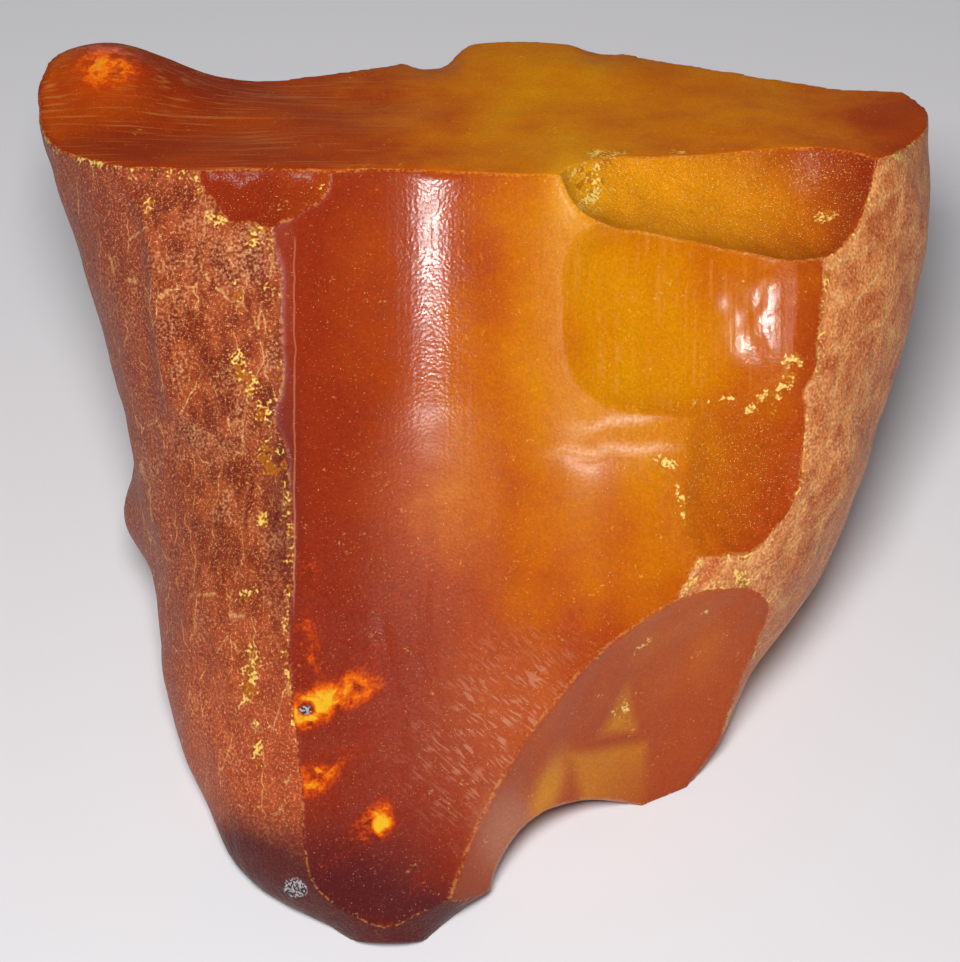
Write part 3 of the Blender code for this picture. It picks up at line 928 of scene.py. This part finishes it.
# Painted highlight: a thin pale line along the crease of the flank
flank_highlight = (px + 12.25 + (mottle - 0.5) * 0.3).size().step(0.09, 0.03)
flank_highlight = flank_highlight * ps.step(-10.0, -6.0) * ps.step(16.4, 15.6)
body = (flank_highlight * 0.35).mix(body, FLANK_HIGHLIGHT_PINK)

# Relief too fine for the mesh, in millimetres
fresh_relief = stripes * mask("striae") + fine * mask("tooth")
fresh_normal = maker.node("ShaderNodeBump", {}, {
    "Strength": 1.0, "Distance": MM, "Height": fresh_relief,
})
fresh_rough = mask("dullness") + (mottle - 0.5) * FRESH_ROUGHNESS_SPREAD
cloudy = maker.node("ShaderNodeBsdfPrincipled", {"subsurface_method": "BURLEY"}, {
    "Base Color": body,
    "Roughness": fresh_rough.clamped(),
    "Normal": fresh_normal,
    "IOR": AMBER_IOR,
    "Specular IOR Level": GLOSS,
    "Subsurface Weight": SCATTER_SHARE,
    "Subsurface Radius": SCATTER_RADIUS,
    "Subsurface Scale": SCATTER_SCALE,
})

# The top break is satin, with hardly any reflection. Its colour is lightened by a gain: painted light,
# for the little light that falls on it
seams = place.noise(0.42, detail=1.0, stretch=(14.0, 1.0, 1.0), offset=31.0)
seams = seams.step(0.52, 0.74) * px.step(4.0, -12.0) * 0.45
# Painted light: the top break's colour brightened to make up for the light it lacks
lightened_top_body = seams.mix(body * TOP_LIGHT_GAIN, SEAM_TAN)
satin = maker.node("ShaderNodeBsdfPrincipled", {"subsurface_method": "BURLEY"}, {
    "Base Color": lightened_top_body,
    "Roughness": SATIN_ROUGHNESS,
    "Normal": fresh_normal,
    "IOR": AMBER_IOR,
    "Specular IOR Level": SATIN_GLOSS,
    "Subsurface Weight": SCATTER_SHARE,
    "Subsurface Radius": SCATTER_RADIUS,
    "Subsurface Scale": SCATTER_SCALE,
})
cloudy = mask("top").step(0.3, 0.7).shade(cloudy, satin)

# Clear amber: plain transmission, with the absorption below. Its red to yellow glow is partly
# emission, added to reach the glow in the photo
glow_light = glow_mask * (mottle.step(0.25, 0.60) * 0.5 + pick * 0.35 + 0.2) + (fine - 0.5) * 0.3
glow_colour = maker.node("ShaderNodeValToRGB", {"stops": GLOW_RAMP}, {"Fac": glow_light.clamped()})
clear = maker.node("ShaderNodeBsdfPrincipled", {}, {
    "Base Color": glow_colour,
    "Roughness": CLEAR_ROUGHNESS,
    "Normal": fresh_normal,
    "IOR": AMBER_IOR,
    "Specular IOR Level": 0.5 * GLOSS,
    "Transmission Weight": CLEAR_SHARE,
    "Emission Color": glow_colour,
    "Emission Strength": GLOW_STRENGTH,
})
fresh = glow_light.step(0.12, 0.70).shade(cloudy, clear)

# The rind: a pinkish brown skin with cream cracks, cream specks of painted sparkle and a pale bloom, gold
# with painted glints where it chipped
SKIN_DARK = colour(124, 42, 20)
SKIN_LIGHT = colour(164, 74, 38)
RIGHT_SKIN_DARK = colour(190, 92, 44)
RIGHT_SKIN_LIGHT = colour(230, 148, 86)
BLOOM_CREAM = colour(214, 158, 112)
LOWER_RIND = colour(196, 84, 46)
OUTER_WALL_RED = colour(150, 62, 40)
CRACK_AND_SPARKLE_CREAM = colour(232, 178, 112)
CHIP_SHADE = colour(172, 96, 18)
CHIP_GLINT = colour(250, 216, 112)
RIGHT_TURN = 38.0
RIND_ROUGHNESS = 0.46
RIND_GRAIN_HEIGHT = 0.09

slant = maker.node("ShaderNodeMapping", {"vector_type": "POINT"}, {
    "Vector": place, "Rotation": (0.0, 0.0, math.radians(RIGHT_TURN)),
})
sway = mask("sway") + 0.5
right_side = px.step(6.0, 14.0)
grid = right_side.mix(place, slant) + (mottle - 0.5) * 0.9
patches = grid.noise(1.0, detail=1.0, stretch=(1.0, 2.2, 1.0), offset=20.0)
skin = patches.step(0.30, 0.68).mix(SKIN_DARK, SKIN_LIGHT)
right_skin = patches.step(0.25, 0.75).mix(RIGHT_SKIN_DARK, RIGHT_SKIN_LIGHT)
skin = (right_side * 0.9).mix(skin, right_skin)
skin = (sway.step(0.5, 1.0) * fine.step(0.3, 0.7) * 0.4).mix(skin, BLOOM_CREAM)
skin = (ps.step(-2.0, -18.0) * 0.5).mix(skin, LOWER_RIND)
skin = (mask("outer_wall") * 0.6).mix(skin, OUTER_WALL_RED)
crack_gap = grid.cells(2.3, feature="DISTANCE_TO_EDGE", stretch=(1.0, 2.8, 1.4))
crack_and_sparkle = crack_gap.step(0.026, 0.0) * patches.step(0.44, 0.58) * 0.7
# The cracks, plus cream specks that are painted sparkle
crack_and_sparkle = crack_and_sparkle + crack_gap.step(0.16, 0.0) * right_side * 0.3 + (spark + fine * 0.4).step(0.80, 0.98) * 0.7
skin = (crack_and_sparkle * 0.7).clamped().mix(skin, CRACK_AND_SPARKLE_CREAM)
skin = skin * ((fine - 0.5) * 0.9 + 1.0)
skin = (mask("dusk") * 0.9).mix(skin, DUSK_PURPLE)
skin = grit.mix(skin, grit_colour)
# Gold chips in the rind, with painted glints on some cells
chip = (mask("chips") + pick * 0.7 + fine * 0.9 - 1.38).step(0.0, 0.30)
skin = (chip * 0.8).mix(skin, glint.mix(CHIP_SHADE, CHIP_GLINT))
rind_normal = maker.node("ShaderNodeBump", {}, {
    "Strength": 1.0, "Distance": MM, "Height": fine * RIND_GRAIN_HEIGHT,
})
rind_rough = RIND_ROUGHNESS + (patches - 0.5) * 0.3 - chip * 0.25
crust = maker.node("ShaderNodeBsdfPrincipled", {}, {
    "Base Color": skin,
    "Roughness": rind_rough.clamped(),
    "Normal": rind_normal,
    "IOR": AMBER_IOR,
    "Specular IOR Level": GLOSS,
})

output = tree.nodes.new("ShaderNodeOutputMaterial")
tree.links.new(rind.step(0.4, 0.6).shade(fresh, crust).socket, output.inputs["Surface"])
absorption = maker.node("ShaderNodeVolumeAbsorption", {}, {
    "Color": (*ABSORB_COLOUR, 1.0), "Density": ABSORB_DENSITY,
})
tree.links.new(absorption.socket, output.inputs["Volume"])
stone.data.materials.append(amber)

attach(stone, "root")
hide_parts("amber_piece")

# The surface, the light and the camera
# A plain pale table in soft light, with one small lamp just over the lens, whose
# reflections give the streak in the channel and the bright spots in the scoops.
FLOOR_HALF = 1.2
FLOOR_GAP = 0.00005
PAPER_COLOUR = (0.78, 0.77, 0.79, 1.0)
PAPER_ROUGHNESS = 0.85
PAPER_GLOSS = 0.2
CAMERA_DISTANCE = 227.0
CAMERA_LENS = 129.1
SENSOR = 36.0
LAMP_PLACE = (-22.0, 34.0, 224.0)
LAMP_SIZE = (22.0, 16.0)
LAMP_POWER = 0.125
ROOM_COLOUR = (0.90, 0.91, 0.95)
ROOM_STRENGTH = 0.055
SOFT_PLACE = (-18.0, 50.0, 268.0)
SOFT_SIZE = 84.0
SOFT_POWER = 0.90

bm = bmesh.new()
bmesh.ops.create_grid(bm, x_segments=1, y_segments=1, size=FLOOR_HALF)
bmesh.ops.translate(bm, vec=(0.0, 0.0, -FLOOR_GAP), verts=bm.verts)
floor_mesh = bpy.data.meshes.new("floor")
bm.to_mesh(floor_mesh)
bm.free()
floor = bpy.data.objects.new("floor", floor_mesh)
bpy.context.scene.collection.objects.link(floor)
paper = bpy.data.materials.new("pale_paper")
paper.use_nodes = True
paper_shader = paper.node_tree.nodes["Principled BSDF"]
paper_shader.inputs["Base Color"].default_value = PAPER_COLOUR
paper_shader.inputs["Roughness"].default_value = PAPER_ROUGHNESS
paper_shader.inputs["Specular IOR Level"].default_value = PAPER_GLOSS
floor.data.materials.append(paper)

world = bpy.data.worlds.new("soft_room")
bpy.context.scene.world = world
world.use_nodes = True
background = world.node_tree.nodes["Background"]
background.inputs["Color"].default_value = (*ROOM_COLOUR, 1.0)
background.inputs["Strength"].default_value = ROOM_STRENGTH


def face_point(place_mm):
    """A point of the face frame in the world."""
    return face_to_world @ (Vector(place_mm) * MM)


def add_lamp(name, place_mm, size_mm, power):
    """A rectangular lamp that looks at the middle of the front face."""
    light = bpy.data.lights.new(name, "AREA")
    light.shape = "RECTANGLE"
    light.size, light.size_y = size_mm[0] * MM, size_mm[1] * MM
    light.energy = power
    lamp = bpy.data.objects.new(name, light)
    bpy.context.scene.collection.objects.link(lamp)
    lamp.location = face_point(place_mm)
    aim = lamp.location - face_point((0.0, 0.0, 0.0))
    lamp.rotation_euler = aim.to_track_quat("Z", "Y").to_euler()
    return lamp


lens_lamp = add_lamp("lens_lamp", LAMP_PLACE, LAMP_SIZE, LAMP_POWER)
lens_lamp.visible_diffuse = False
soft_box = add_lamp("soft_box", SOFT_PLACE, (SOFT_SIZE, SOFT_SIZE), SOFT_POWER)
soft_box.visible_glossy = False

camera_data = bpy.data.cameras.new("camera")
camera_data.lens = CAMERA_LENS
camera_data.sensor_width = SENSOR
camera = bpy.data.objects.new("camera", camera_data)
bpy.context.scene.collection.objects.link(camera)
camera.location = face_point((0.0, 0.0, CAMERA_DISTANCE))
camera.rotation_euler = (FACE_LEAN, 0.0, 0.0)
bpy.context.scene.camera = camera
bpy.context.scene.view_settings.view_transform = "Standard"
